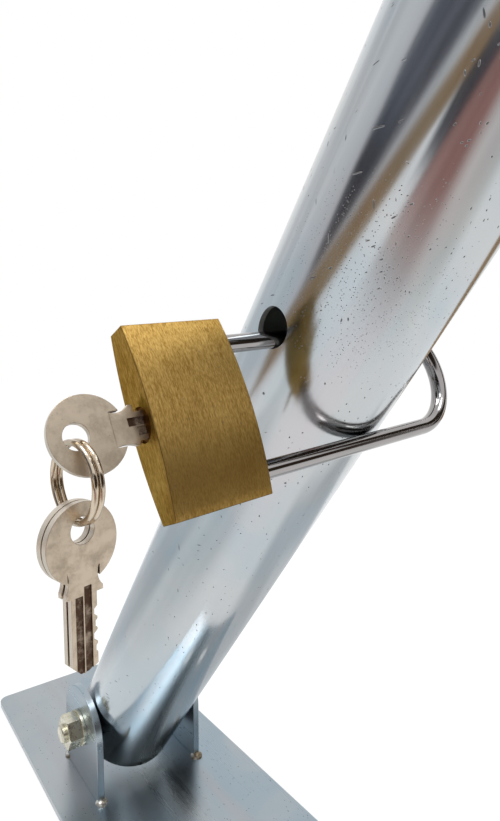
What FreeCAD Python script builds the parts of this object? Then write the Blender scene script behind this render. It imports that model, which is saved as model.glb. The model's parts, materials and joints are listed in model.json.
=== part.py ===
import FreeCAD, Part
import math
import os
from FreeCAD import Matrix, Placement, Vector

# Folding parking post with a long-shackle padlock, millimetres and degrees.
# +X runs along the pivot bolt, +Y points away from the side the post folds to, +Z is up.
# The origin lies on the underside of the base plate, straight below the pivot axis.

# Base plate
PLATE_WIDTH = 114.4
PLATE_SHIFT = 2.1
PLATE_BACK = 109.0
PLATE_FRONT = 109.0
PLATE_T = 4.0
PLATE_CORNER_R = 6.0
ANCHOR_HOLE_D = 11.0
ANCHOR_SPAN_X = 36.0
ANCHOR_BACK_Y = 50.0
ANCHOR_FRONT_Y = -85.0

# Ears and pivot
PLATE_GAP = 3.3
EAR_T = 4.0
EAR_HALF_WIDTH = 23.5
EAR_PLAY = 0.5
BEAD_R = 4.6
BEAD_TOP_R = 2.4
BEAD_H = 3.4
BEAD_SINK = 0.8
BOLT_D = 10.0
BOLT_PLAY = 0.05
HEX_FLATS = 17.0
HEX_CHAMFER = 0.6
BOLT_HEAD_H = 6.4
NUT_H = 8.0
WASHER_D = 20.0
WASHER_T = 2.0
BOLT_TIP = 2.5

# Post tube, leaning towards -Y
TUBE_D = 60.0
TUBE_WALL = 2.0
TUBE_TAIL = 12.0
TUBE_LENGTH = 600.0
LEAN = 35.27
LOCK_HOLE_D = 13.5
LOCK_HOLE_UP = 277.8
CAP_FLANGE_H = 5.0
CAP_EDGE = 2.0
CAP_SPIGOT_H = 18.0
CAP_WALL = 2.5
CAP_PLAY = 0.05

# Shackle
LEG_D = 5.6
LEG_SPAN = 38.9
LEG_STRAIGHT = 77.7
TOE_DEPTH = 11.0
HEEL_DEPTH = 20.0
LEG_PLAY = 0.1
LEG_EDGE = 0.6
LOCK_DROOP = 5.16
LOCK_STANDOFF = 20.5
SEAT_GAP = 0.3

# Padlock body, a lens section pushed out along the legs
LOCK_WIDTH = 52.7
LOCK_HEIGHT = 31.9
LOCK_END_T = 7.1
LOCK_BULGE = 3.05
LOCK_EDGE = 0.2
HEEL_BORE_DEPTH = 29.0
TOE_BORE_SPARE = 0.5

# Latch and heel pin
LATCH_D = 4.6
LATCH_PLAY = 0.1
LATCH_DOWN = 6.2
LATCH_BITE = 2.2
LATCH_TRAVEL = 2.4
LATCH_TAIL = 5.0
LATCH_POCKET_DEPTH = 4.2
LATCH_BORE_END = 10.5
NOTCH_PLAY = 0.25
HEEL_PIN_D = 2.0
HEEL_PIN_DOWN = 5.0
HEEL_GROOVE_DEPTH = 1.4
HEEL_TRAVEL = 12.0

# Cylinder, its pins and its drive
CYL_D = 9.6
CYL_PLAY = 0.05
CYL_RECESS = 0.8
CYL_TOP_DOWN = 9.6
DRIVE_D = 2.0
DRIVE_PLAY = 0.15
DRIVE_TOP_DOWN = 5.2
CYL_PIN_D = 1.8
CYL_PIN_DOWN = 12.0
CYL_GROOVE_DEPTH = 1.0
PIN_D = 2.0
PIN_TIP_R = 0.5
PIN_TIP_H = 1.0
PIN_PLAY = 0.1
PIN_FIRST_UP = 3.4
PIN_PITCH = 3.2
CUT_DEPTHS = (0.9, 0.6, 1.1, 0.5)
DRIVER_LENGTH = 4.5
PIN_SPRING_LENGTH = 10.0
PIN_WIRE_D = 0.4
LATCH_SPRING_R = 1.5
LATCH_WIRE_D = 0.5
SHACKLE_WIRE_D = 0.7
SPRING_PLAY = 0.2
PLUG_PLAY = 0.01

# Keys: head centre at the key's origin, blade along its own +X
KEY_HEAD_R = 10.3
KEY_T = 1.9
KEY_NECK_T = 1.5
KEY_HOLE_R = 3.45
KEY_HOLE_BACK = 3.2
KEY_STEP = 6.4
KEY_NECK_HALF = 4.7
KEY_WAIST_HALF = 4.3
KEY_SHOULDER = 13.2
KEY_SHOULDER_HALF = 5.0
KEY_CUT_SHOULDER = 5.8
KEY_SHOULDER_LAND = 1.2
KEY_TIP = 33.2
KEY_TIP_HALF = 1.2
KEY_TIP_TAPER = 2.6
BLADE_HALF = 3.8
GROOVE_DEPTH = 0.45
GROOVE_HALF = 1.1
GROOVE_LONG_SIDE = -1.15
GROOVE_SHORT_SIDE = 1.45
GROOVE_LONG_START = 11.0
CUT_FLAT = 1.4
CUT_LAND = 0.1
KEYWAY_PLAY = 0.12
KEY_HEAD_OUT = 14.9

# Split ring and spare keys
RING_R = 9.8
RING_WIRE_R = 0.85
RING_WIRE_SIDES = 8
RING_COIL_GAP = 0.05
RING_STEP_ANGLE = 30.0
RING_STEP_AT = 120.0
RING_TURN = 8.4
SPARE_TURN = 13.0
RING_SIT = 1.1
SPARE_SIT = 1.7
SPARE_GAP = 0.3

# Values worked out from the sizes above
PLATE_TOP = PLATE_T
TUBE_R = TUBE_D / 2
# Folded flat, the tube lies just clear of the plate.
PIVOT_Z = PLATE_TOP + PLATE_GAP + TUBE_R
EAR_INNER = TUBE_R + EAR_PLAY
EAR_OUTER = EAR_INNER + EAR_T
LEG_R = LEG_D / 2
TOE_SIDE = -LEG_SPAN / 2
HEEL_SIDE = LEG_SPAN / 2
LOCK_SIDE = LOCK_WIDTH / 2
LOCK_MID_HALF_T = LOCK_END_T / 2 + LOCK_BULGE
CYL_R = CYL_D / 2
CYL_FACE = -LOCK_HEIGHT + CYL_RECESS
PIN_PLACES = [-LOCK_HEIGHT + PIN_FIRST_UP + i * PIN_PITCH for i in range(len(CUT_DEPTHS))]
KEY_HEAD_AT = -(LOCK_HEIGHT + KEY_HEAD_OUT)
RING_PITCH = 2 * RING_WIRE_R + RING_COIL_GAP
# The drive pin swings a quarter turn, evenly either side of the cylinder's middle.
DRIVE_OFFSET = LATCH_TRAVEL / 2


def box(x0, x1, y0, y1, z0, z1):
    """Box between two corners."""
    return Part.makeBox(x1 - x0, y1 - y0, z1 - z0, Vector(x0, y0, z0))


def rod(radius, start, end):
    """Round bar from start to end."""
    run = end - start
    return Part.makeCylinder(radius, run.Length, start, run)


def frame(origin, x_axis, y_axis):
    """Placement with the given origin and axes."""
    z_axis = x_axis.cross(y_axis)
    return Placement(Matrix(x_axis.x, y_axis.x, z_axis.x, origin.x,
                            x_axis.y, y_axis.y, z_axis.y, origin.y,
                            x_axis.z, y_axis.z, z_axis.z, origin.z,
                            0, 0, 0, 1))


def placed(shape, where):
    """Copy of a shape set into a frame."""
    copy = shape.copy()
    copy.Placement = where.multiply(copy.Placement)
    return copy


def spring(outer_r, wire_d, start, end):
    """Sleeve of a closely wound spring's outer and inner size."""
    return rod(outer_r, start, end).cut(rod(outer_r - wire_d, start, end))


def save(name, *solids):
    """Write one node, a single solid or a group of separate ones."""
    shape = solids[0] if len(solids) == 1 else Part.makeCompound(list(solids))
    if not shape.isValid():
        raise ValueError(name + " is not a valid shape")
    shape.exportStep("parts/" + name + ".step")


# Frames of the post, the padlock and the keys

def post_frame():
    """Origin on the pivot axis, +Z up the tube."""
    lean = math.radians(LEAN)
    return frame(Vector(0, 0, PIVOT_Z), Vector(1, 0, 0), Vector(0, math.cos(lean), math.sin(lean)))


def lock_frame():
    """Origin on the padlock's top face, +X along the legs, +Y from the toe leg to the heel leg.

    The toe leg lies in the bottom of the cross hole, and the heel leg leans on the tube.
    """
    droop = math.radians(LOCK_DROOP)
    lean = math.radians(LEAN)
    along = Vector(math.cos(droop), 0, math.sin(droop))
    down = Vector(math.sin(droop), 0, -math.cos(droop))
    forward = Vector(0, -1, 0)
    tube_axis = Vector(0, -math.sin(lean), math.cos(lean))
    pivot = Vector(0, 0, PIVOT_Z)
    seat = LOCK_HOLE_D / 2 - LEG_R - SEAT_GAP
    in_hole = pivot + tube_axis * LOCK_HOLE_UP + Vector(TUBE_WALL / 2 - TUBE_R, 0, -seat)
    off_tube = along.cross(tube_axis).normalize()
    reach = TUBE_R + LEG_R + SEAT_GAP - (in_hole - pivot).dot(off_tube)
    share_down = down.dot(off_tube)
    share_forward = forward.dot(off_tube)
    middle = math.atan2(share_forward, share_down)
    spread = math.acos(reach / (LEG_SPAN * math.hypot(share_down, share_forward)))
    swing = middle - spread
    across = down * math.cos(swing) + forward * math.sin(swing)
    body_gap = LOCK_STANDOFF + TUBE_WALL / 2
    return frame(in_hole - along * body_gap + across * HEEL_SIDE, along, across)


def key_frame():
    """Origin at the head's centre of the key in the lock, +X along its blade."""
    return lock_frame().multiply(Placement(Vector(KEY_HEAD_AT, 0, 0), FreeCAD.Rotation()))


def level(turn):
    """Level direction, turned from straight forward (-Y) towards +X."""
    return Vector(math.sin(math.radians(turn)), -math.cos(math.radians(turn)), 0)


def ring_frame():
    """Origin at the ring's centre, +Z along the ring's own axis, +Y straight up."""
    hole = key_frame().multVec(Vector(-KEY_HOLE_BACK, 0, 0))
    centre = hole - Vector(0, 0, RING_SIT + RING_R)
    return frame(centre, level(RING_TURN), Vector(0, 0, 1))


def spare_frame(side):
    """Frame of a spare key hanging on the bottom of the ring, on the near (+1) or far (-1) side."""
    facing = level(SPARE_TURN)
    across = Vector(0, 0, -1).cross(facing)
    bottom = ring_frame().Base - Vector(0, 0, RING_R + SPARE_SIT)
    head = bottom - Vector(0, 0, KEY_HOLE_BACK)
    offset = side * (KEY_T + SPARE_GAP) / 2
    return frame(head + facing * offset, Vector(0, 0, -1), across)


# Base

def base_plate():
    """Flat plate with rounded corners and four anchor holes."""
    half = PLATE_WIDTH / 2
    plate = box(PLATE_SHIFT - half, PLATE_SHIFT + half, -PLATE_FRONT, PLATE_BACK, 0, PLATE_T)
    corners = [e for e in plate.Edges if abs(e.Vertexes[0].Z - e.Vertexes[1].Z) > PLATE_T / 2]
    plate = plate.makeFillet(PLATE_CORNER_R, corners)
    for x in (PLATE_SHIFT - ANCHOR_SPAN_X / 2, PLATE_SHIFT + ANCHOR_SPAN_X / 2):
        for y in (ANCHOR_BACK_Y, ANCHOR_FRONT_Y):
            plate = plate.cut(rod(ANCHOR_HOLE_D / 2, Vector(x, y, -1), Vector(x, y, PLATE_T + 1)))
    return plate


def ear(side):
    """Upright plate with a round top about the pivot, drilled for the bolt."""
    inner, outer = sorted((side * EAR_INNER, side * EAR_OUTER))
    blank = box(inner, outer, -EAR_HALF_WIDTH, EAR_HALF_WIDTH, PLATE_TOP, PIVOT_Z)
    blank = blank.fuse(rod(EAR_HALF_WIDTH, Vector(inner, 0, PIVOT_Z), Vector(outer, 0, PIVOT_Z)))
    hole = rod(BOLT_D / 2 + BOLT_PLAY, Vector(inner - 1, 0, PIVOT_Z), Vector(outer + 1, 0, PIVOT_Z))
    return blank.removeSplitter().cut(hole)


def ear_welds():
    """Tapering weld beads that wrap the front and back feet of both ears."""
    beads = []
    for side in (-1, 1):
        x = side * (EAR_INNER + EAR_OUTER) / 2
        for end in (-1, 1):
            foot = Vector(x, end * (EAR_HALF_WIDTH - BEAD_SINK), PLATE_TOP)
            bead = Part.makeCone(BEAD_R, BEAD_TOP_R, BEAD_H, foot, Vector(0, 0, 1))
            beads.append(bead.cut(ear(side)))
    return beads


def hexagon(x0, x1):
    """Hexagon prism about the pivot axis, its outer corners turned off."""
    corner = HEX_FLATS / math.sqrt(3)
    points = []
    for i in range(7):
        angle = math.radians(60 * i)
        points.append(Vector(x0, corner * math.cos(angle), PIVOT_Z + corner * math.sin(angle)))
    prism = Part.Face(Part.makePolygon(points)).extrude(Vector(x1 - x0, 0, 0))
    height = abs(x1 - x0)
    face_r = corner - HEX_CHAMFER
    cone = Part.makeCone(face_r, face_r + height, height, Vector(x1, 0, PIVOT_Z), Vector(x0 - x1, 0, 0))
    return prism.common(cone)


def pivot_bolt():
    """Hexagon-head bolt: head outside the right ear, thread end past the nut on the left."""
    head_at = EAR_OUTER + WASHER_T
    end = -(EAR_OUTER + WASHER_T + NUT_H + BOLT_TIP)
    shank = rod(BOLT_D / 2, Vector(end, 0, PIVOT_Z), Vector(head_at, 0, PIVOT_Z))
    tip = [e for e in shank.Edges if abs(e.CenterOfMass.x - end) < 0.1]
    shank = shank.makeChamfer(HEX_CHAMFER, tip)
    return shank.fuse(hexagon(head_at, head_at + BOLT_HEAD_H)).removeSplitter()


def pivot_nut():
    """Hexagon nut on the left end of the bolt."""
    near = -(EAR_OUTER + WASHER_T)
    far = near - NUT_H
    bore = rod(BOLT_D / 2 + BOLT_PLAY, Vector(near + 1, 0, PIVOT_Z), Vector(far - 1, 0, PIVOT_Z))
    return hexagon(near, far).cut(bore)


def pivot_washers():
    """Plain washers under the nut and the bolt head."""
    rings = []
    for side in (-1, 1):
        start = Vector(side * EAR_OUTER, 0, PIVOT_Z)
        end = Vector(side * (EAR_OUTER + WASHER_T), 0, PIVOT_Z)
        rings.append(rod(WASHER_D / 2, start, end).cut(rod(BOLT_D / 2 + BOLT_PLAY, start, end)))
    return rings


# Post

def post_tube():
    """Round tube, cross-drilled for the pivot bolt and for the padlock."""
    bottom = Vector(0, 0, -TUBE_TAIL)
    top = Vector(0, 0, TUBE_LENGTH)
    tube = rod(TUBE_R, bottom, top).cut(rod(TUBE_R - TUBE_WALL, bottom, top))
    for radius, up in ((BOLT_D / 2 + BOLT_PLAY, 0), (LOCK_HOLE_D / 2, LOCK_HOLE_UP)):
        tube = tube.cut(rod(radius, Vector(-TUBE_D, 0, up), Vector(TUBE_D, 0, up)))
    return placed(tube, post_frame())


def post_cap():
    """Plain plug with a bevelled flange that closes the top of the tube."""
    top = Vector(0, 0, TUBE_LENGTH)
    crown = Vector(0, 0, TUBE_LENGTH + CAP_FLANGE_H)
    low = Vector(0, 0, TUBE_LENGTH - CAP_SPIGOT_H)
    flange = rod(TUBE_R, top, crown)
    rim = [e for e in flange.Edges if abs(e.CenterOfMass.z - crown.z) < 0.1 and e.Closed]
    flange = flange.makeChamfer(CAP_EDGE, rim)
    spigot_r = TUBE_R - TUBE_WALL - CAP_PLAY
    spigot = rod(spigot_r, low, top).cut(rod(spigot_r - CAP_WALL, low, top))
    return placed(flange.fuse(spigot).removeSplitter(), post_frame())


# Padlock, in its own frame: x along the legs, y across, z through the body

def padlock_shackle():
    """Bent bar with a notch for the latch and a long groove for the heel pin."""
    toe_end = Vector(-TOE_DEPTH, TOE_SIDE, 0)
    heel_end = Vector(-HEEL_DEPTH, HEEL_SIDE, 0)
    toe = rod(LEG_R, toe_end, Vector(LEG_STRAIGHT, TOE_SIDE, 0))
    heel = rod(LEG_R, heel_end, Vector(LEG_STRAIGHT, HEEL_SIDE, 0))
    round_bar = Part.makeCircle(LEG_R, Vector(LEG_STRAIGHT, TOE_SIDE, 0), Vector(1, 0, 0))
    bow = Part.Face(Part.Wire(round_bar)).revolve(Vector(LEG_STRAIGHT, 0, 0), Vector(0, 0, 1), 180)
    bar = toe.fuse([heel, bow]).removeSplitter()
    ends = [e for e in bar.Edges if e.Closed and e.CenterOfMass.x < 1 - TOE_DEPTH]
    bar = bar.makeChamfer(LEG_EDGE, ends)
    half = LATCH_D / 2 + NOTCH_PLAY
    inner = TOE_SIDE + LEG_R
    notch = box(-LATCH_DOWN - half, -LATCH_DOWN + half,
                inner - LATCH_BITE - NOTCH_PLAY, inner + 1, -LEG_D, LEG_D)
    groove_top = -HEEL_PIN_DOWN + HEEL_PIN_D / 2 + NOTCH_PLAY
    groove_low = -HEEL_PIN_DOWN - HEEL_TRAVEL
    face = HEEL_SIDE - LEG_R
    groove = box(groove_low, groove_top, face - 1, face + HEEL_GROOVE_DEPTH, -LEG_D, LEG_D)
    return bar.cut([notch, groove])


def heel_pin_line():
    """Ends of the heel pin, a little inside the body's two faces."""
    y = HEEL_SIDE - LEG_R + HEEL_GROOVE_DEPTH - HEEL_PIN_D / 2 - NOTCH_PLAY / 2
    reach = LOCK_END_T / 2
    return Vector(-HEEL_PIN_DOWN, y, -reach), Vector(-HEEL_PIN_DOWN, y, reach)


def cylinder_pin_line():
    """Ends of the pin that lies in the cylinder's groove."""
    y = CYL_R - CYL_GROOVE_DEPTH + CYL_PIN_D / 2 + CYL_PLAY
    reach = LOCK_END_T / 2
    return Vector(-CYL_PIN_DOWN, y, -reach), Vector(-CYL_PIN_DOWN, y, reach)


def lock_blank():
    """Lens section pushed along the legs, edges broken."""
    side = LOCK_SIDE
    half = LOCK_END_T / 2
    x = -LOCK_HEIGHT
    corners = [Vector(x, side, -half), Vector(x, side, half), Vector(x, -side, half), Vector(x, -side, -half)]
    front = Vector(x, 0, LOCK_MID_HALF_T)
    back = Vector(x, 0, -LOCK_MID_HALF_T)
    outline = Part.Wire([Part.LineSegment(corners[0], corners[1]).toShape(),
                         Part.Arc(corners[1], front, corners[2]).toShape(),
                         Part.LineSegment(corners[2], corners[3]).toShape(),
                         Part.Arc(corners[3], back, corners[0]).toShape()])
    blank = Part.Face(outline).extrude(Vector(LOCK_HEIGHT, 0, 0))
    return blank.makeChamfer(LOCK_EDGE, blank.Edges)


def padlock_body():
    """Solid body bored for the legs, cylinder, pin stacks, latch and cross pins."""
    leg_bore = LEG_R + LEG_PLAY
    cyl_bore = CYL_R + CYL_PLAY
    cyl_top = -CYL_TOP_DOWN + CYL_PLAY * 2
    drive_reach = math.hypot(DRIVE_OFFSET, DRIVE_OFFSET) + DRIVE_D / 2 + DRIVE_PLAY
    heel_pin = heel_pin_line()
    cyl_pin = cylinder_pin_line()
    bores = [
        rod(leg_bore, Vector(-TOE_DEPTH - TOE_BORE_SPARE, TOE_SIDE, 0), Vector(1, TOE_SIDE, 0)),
        rod(leg_bore, Vector(-HEEL_BORE_DEPTH, HEEL_SIDE, 0), Vector(1, HEEL_SIDE, 0)),
        rod(cyl_bore, Vector(-LOCK_HEIGHT - 1, 0, 0), Vector(cyl_top, 0, 0)),
        rod(drive_reach, Vector(cyl_top - 1, 0, 0), Vector(-DRIVE_TOP_DOWN + DRIVE_PLAY, 0, 0)),
        rod(LATCH_D / 2 + LATCH_PLAY, Vector(-LATCH_DOWN, -LOCK_SIDE - 1, 0),
            Vector(-LATCH_DOWN, LATCH_BORE_END, 0)),
        rod(HEEL_PIN_D / 2, heel_pin[0], heel_pin[1]),
        rod(CYL_PIN_D / 2, cyl_pin[0], cyl_pin[1]),
    ]
    for x in PIN_PLACES:
        bores.append(rod(PIN_D / 2 + PIN_PLAY, Vector(x, -LOCK_SIDE - 1, 0), Vector(x, 0, 0)))
    body = lock_blank()
    for bore in bores:
        body = body.cut(bore)
    return body


def lock_cylinder():
    """Turned plug with a groove, a warded keyway, pin holes and an off-centre drive pin."""
    cylinder = rod(CYL_R, Vector(CYL_FACE, 0, 0), Vector(-CYL_TOP_DOWN, 0, 0))
    drive = rod(DRIVE_D / 2, Vector(-CYL_TOP_DOWN - 1, -DRIVE_OFFSET, -DRIVE_OFFSET),
                Vector(-DRIVE_TOP_DOWN, -DRIVE_OFFSET, -DRIVE_OFFSET))
    half = CYL_PIN_D / 2 + CYL_PLAY
    low = Vector(-CYL_PIN_DOWN - half, 0, 0)
    high = Vector(-CYL_PIN_DOWN + half, 0, 0)
    groove = rod(CYL_R + 1, low, high).cut(rod(CYL_R - CYL_GROOVE_DEPTH, low, high))
    keyway_end = KEY_HEAD_AT + KEY_TIP + KEYWAY_PLAY
    slot_half = KEY_NECK_T / 2 + KEYWAY_PLAY
    blade_half = BLADE_HALF + KEYWAY_PLAY
    keyway = box(CYL_FACE - 1, keyway_end, -blade_half, blade_half, -slot_half, slot_half)
    for side in (GROOVE_LONG_SIDE, GROOVE_SHORT_SIDE):
        ward_half = GROOVE_HALF - KEYWAY_PLAY
        ward_at = KEY_NECK_T / 2 - GROOVE_DEPTH + KEYWAY_PLAY
        for z0, z1 in ((ward_at, slot_half + 1), (-slot_half - 1, -ward_at)):
            keyway = keyway.cut(box(CYL_FACE - 2, keyway_end + 1, side - ward_half, side + ward_half, z0, z1))
    plug = cylinder.cut([groove, keyway]).fuse(drive).removeSplitter()
    deepest = BLADE_HALF - max(CUT_DEPTHS)
    for x in PIN_PLACES:
        plug = plug.cut(rod(PIN_D / 2 + PIN_PLAY, Vector(x, -CYL_D, 0), Vector(x, -deepest, 0)))
    return plug


def pin_stacks():
    """Key pins, driver pins, springs and closing plugs of the pin bores, innermost first."""
    key_pins = []
    drivers = []
    springs = []
    plugs = []
    pin_r = PIN_D / 2
    shear = math.sqrt((CYL_R - CYL_PLAY) ** 2 - pin_r ** 2)
    driver_low = CYL_R + CYL_PLAY * 2
    driver_top = driver_low + DRIVER_LENGTH
    spring_top = driver_top + PIN_SPRING_LENGTH
    for x, cut in zip(PIN_PLACES, CUT_DEPTHS):
        foot = BLADE_HALF - cut + KEYWAY_PLAY
        tip = Part.makeCone(PIN_TIP_R, pin_r, PIN_TIP_H, Vector(x, -foot, 0), Vector(0, -1, 0))
        shank = rod(pin_r, Vector(x, -foot - PIN_TIP_H, 0), Vector(x, -shear, 0))
        key_pins.append(tip.fuse(shank).removeSplitter())
        drivers.append(rod(pin_r, Vector(x, -driver_low, 0), Vector(x, -driver_top, 0)))
        springs.append(spring(pin_r, PIN_WIRE_D, Vector(x, -driver_top, 0), Vector(x, -spring_top, 0)))
        plugs.append(rod(pin_r + PIN_PLAY - PLUG_PLAY, Vector(x, -spring_top, 0), Vector(x, -LOCK_SIDE, 0)))
    return key_pins, drivers, springs, plugs


def latch_bore_plug():
    """Plug that closes the outer end of the latch bore, outside the toe leg."""
    start = Vector(-LATCH_DOWN, TOE_SIDE - LEG_R - LEG_PLAY * 2, 0)
    return rod(LATCH_D / 2 + LATCH_PLAY - PLUG_PLAY, start, Vector(-LATCH_DOWN, -LOCK_SIDE, 0))


def latch_bolt():
    """Round latch with a slot for the drive pin and a spring pocket, its tip in the toe leg's notch."""
    tip = TOE_SIDE + LEG_R - LATCH_BITE
    bolt = rod(LATCH_D / 2, Vector(-LATCH_DOWN, tip, 0), Vector(-LATCH_DOWN, LATCH_TAIL, 0))
    half = DRIVE_D / 2 + DRIVE_PLAY
    slot_top = -DRIVE_TOP_DOWN + DRIVE_PLAY * 2
    slot = box(-LATCH_DOWN - LATCH_D, slot_top, -DRIVE_OFFSET - half, -DRIVE_OFFSET + half, -LATCH_D, LATCH_D)
    pocket = rod(LATCH_SPRING_R + SPRING_PLAY, Vector(-LATCH_DOWN, LATCH_TAIL - LATCH_POCKET_DEPTH, 0),
                 Vector(-LATCH_DOWN, LATCH_TAIL + 1, 0))
    return bolt.cut([slot, pocket])


def latch_spring():
    """Spring in the latch's pocket, at the length it has when the latch is drawn back."""
    start = LATCH_TAIL - LATCH_POCKET_DEPTH + LATCH_TRAVEL + LATCH_PLAY
    return spring(LATCH_SPRING_R, LATCH_WIRE_D,
                  Vector(-LATCH_DOWN, start, 0), Vector(-LATCH_DOWN, LATCH_BORE_END, 0))


def shackle_spring():
    """Spring under the heel leg that lifts the shackle."""
    return spring(LEG_R - SPRING_PLAY, SHACKLE_WIRE_D,
                  Vector(-HEEL_BORE_DEPTH, HEEL_SIDE, 0), Vector(-HEEL_DEPTH, HEEL_SIDE, 0))


# Keys

def key():
    """Flat key: round head with a hole, thinner waisted neck, grooved and cut blade."""
    half_t = KEY_T / 2
    thin = KEY_NECK_T / 2
    head = rod(KEY_HEAD_R, Vector(0, 0, -half_t), Vector(0, 0, half_t))
    head = head.cut(box(KEY_STEP, KEY_HEAD_R + 1, -KEY_NECK_HALF, KEY_NECK_HALF, -KEY_T, KEY_T))
    land = KEY_SHOULDER - KEY_SHOULDER_LAND
    waist = (KEY_STEP + land) / 2
    z = -thin
    edges = [Part.LineSegment(Vector(KEY_STEP, KEY_NECK_HALF, z),
                              Vector(KEY_STEP, -KEY_NECK_HALF, z)).toShape()]
    edges.append(Part.Arc(Vector(KEY_STEP, -KEY_NECK_HALF, z), Vector(waist, -KEY_WAIST_HALF, z),
                          Vector(land, -KEY_CUT_SHOULDER, z)).toShape())
    edges += Part.makePolygon(blade_points(land, z)).Edges
    edges.append(Part.Arc(Vector(land, KEY_SHOULDER_HALF, z), Vector(waist, KEY_WAIST_HALF, z),
                          Vector(KEY_STEP, KEY_NECK_HALF, z)).toShape())
    blade = Part.Face(Part.Wire(edges)).extrude(Vector(0, 0, KEY_NECK_T))
    shape = head.fuse(blade).removeSplitter()
    for side, start in ((GROOVE_LONG_SIDE, GROOVE_LONG_START), (GROOVE_SHORT_SIDE, KEY_SHOULDER)):
        for z0, z1 in ((thin - GROOVE_DEPTH, thin + 1), (-thin - 1, -thin + GROOVE_DEPTH)):
            shape = shape.cut(box(start, KEY_TIP + 1, side - GROOVE_HALF, side + GROOVE_HALF, z0, z1))
    hole = rod(KEY_HOLE_R, Vector(-KEY_HOLE_BACK, 0, -KEY_T), Vector(-KEY_HOLE_BACK, 0, KEY_T))
    return shape.cut(hole)


def blade_points(land, z):
    """Outline from one shoulder corner round the cut blade to the other."""
    points = [Vector(land, -KEY_CUT_SHOULDER, z), Vector(KEY_SHOULDER, -KEY_CUT_SHOULDER, z),
              Vector(KEY_SHOULDER, -BLADE_HALF, z)]
    steepest = (PIN_PITCH - CUT_FLAT - CUT_LAND) / 2 / max(CUT_DEPTHS)
    for place, cut in zip(PIN_PLACES, CUT_DEPTHS):
        x = place - KEY_HEAD_AT
        foot = CUT_FLAT / 2
        flank = steepest * cut
        points += [Vector(x - foot - flank, -BLADE_HALF, z), Vector(x - foot, -BLADE_HALF + cut, z),
                   Vector(x + foot, -BLADE_HALF + cut, z), Vector(x + foot + flank, -BLADE_HALF, z)]
    points += [Vector(KEY_TIP - KEY_TIP_TAPER / 2, -BLADE_HALF, z), Vector(KEY_TIP, -KEY_TIP_HALF, z),
               Vector(KEY_TIP, KEY_TIP_HALF, z), Vector(KEY_TIP - KEY_TIP_TAPER, BLADE_HALF, z),
               Vector(KEY_SHOULDER, BLADE_HALF, z), Vector(KEY_SHOULDER, KEY_SHOULDER_HALF, z),
               Vector(land, KEY_SHOULDER_HALF, z)]
    return points


def wire_section(angle, layer):
    """Section of the ring's flattened wire at an angle round the ring, on one of its two layers."""
    corner = RING_WIRE_R / math.cos(math.pi / RING_WIRE_SIDES)
    points = []
    for i in range(RING_WIRE_SIDES + 1):
        turn = (2 * i + 1) * math.pi / RING_WIRE_SIDES
        points.append(Vector(RING_R + corner * math.cos(turn), 0, layer + corner * math.sin(turn)))
    section = Part.makePolygon(points)
    section.rotate(Vector(0, 0, 0), Vector(0, 0, 1), angle)
    return section


def split_ring():
    """Two flat turns of wire side by side, joined where the wire steps from one to the other."""
    low = -RING_PITCH / 2
    high = RING_PITCH / 2
    start = RING_STEP_AT + RING_STEP_ANGLE
    sweep = 360 - RING_STEP_ANGLE
    turns = [Part.Face(wire_section(start, layer)).revolve(Vector(0, 0, 0), Vector(0, 0, 1), sweep)
             for layer in (low, high)]
    step = Part.makeLoft([wire_section(RING_STEP_AT, low), wire_section(start, high)], True, True)
    return placed(turns[0].fuse([step, turns[1]]), ring_frame())


def build():
    """Make every piece and write it to its own file."""
    os.makedirs("parts", exist_ok=True)
    lock = lock_frame()
    key_pins, drivers, springs, plugs = pin_stacks()
    save("base_plate", base_plate())
    save("left_ear", ear(-1))
    save("right_ear", ear(1))
    save("ear_welds", *ear_welds())
    save("pivot_bolt", pivot_bolt())
    save("pivot_nut", pivot_nut())
    save("pivot_washers", *pivot_washers())
    save("post_tube", post_tube())
    save("post_cap", post_cap())
    in_lock = {
        "padlock_body": [padlock_body()],
        "padlock_shackle": [padlock_shackle()],
        "heel_pin": [rod(HEEL_PIN_D / 2, *heel_pin_line())],
        "shackle_spring": [shackle_spring()],
        "lock_cylinder": [lock_cylinder()],
        "cylinder_pin": [rod(CYL_PIN_D / 2, *cylinder_pin_line())],
        "key_pins": key_pins,
        "driver_pins": drivers,
        "pin_springs": springs,
        "chamber_plugs": plugs + [latch_bore_plug()],
        "latch_bolt": [latch_bolt()],
        "latch_spring": [latch_spring()],
    }
    for name, solids in in_lock.items():
        save(name, *[placed(solid, lock) for solid in solids])
    save("inserted_key", placed(key(), key_frame()))
    save("split_ring", split_ring())
    save("spare_key_front", placed(key(), spare_frame(1)))
    save("spare_key_rear", placed(key(), spare_frame(-1)))


build()
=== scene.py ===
"""Folding parking post with a padlock: its visible pieces, finishes and stage.

Laid out as an add-on, and run as a script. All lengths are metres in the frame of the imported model.
"""
import json
import math

import bmesh
import bpy
from bpy.props import FloatProperty, FloatVectorProperty, PointerProperty
from mathutils import Matrix, Vector, noise


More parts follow.
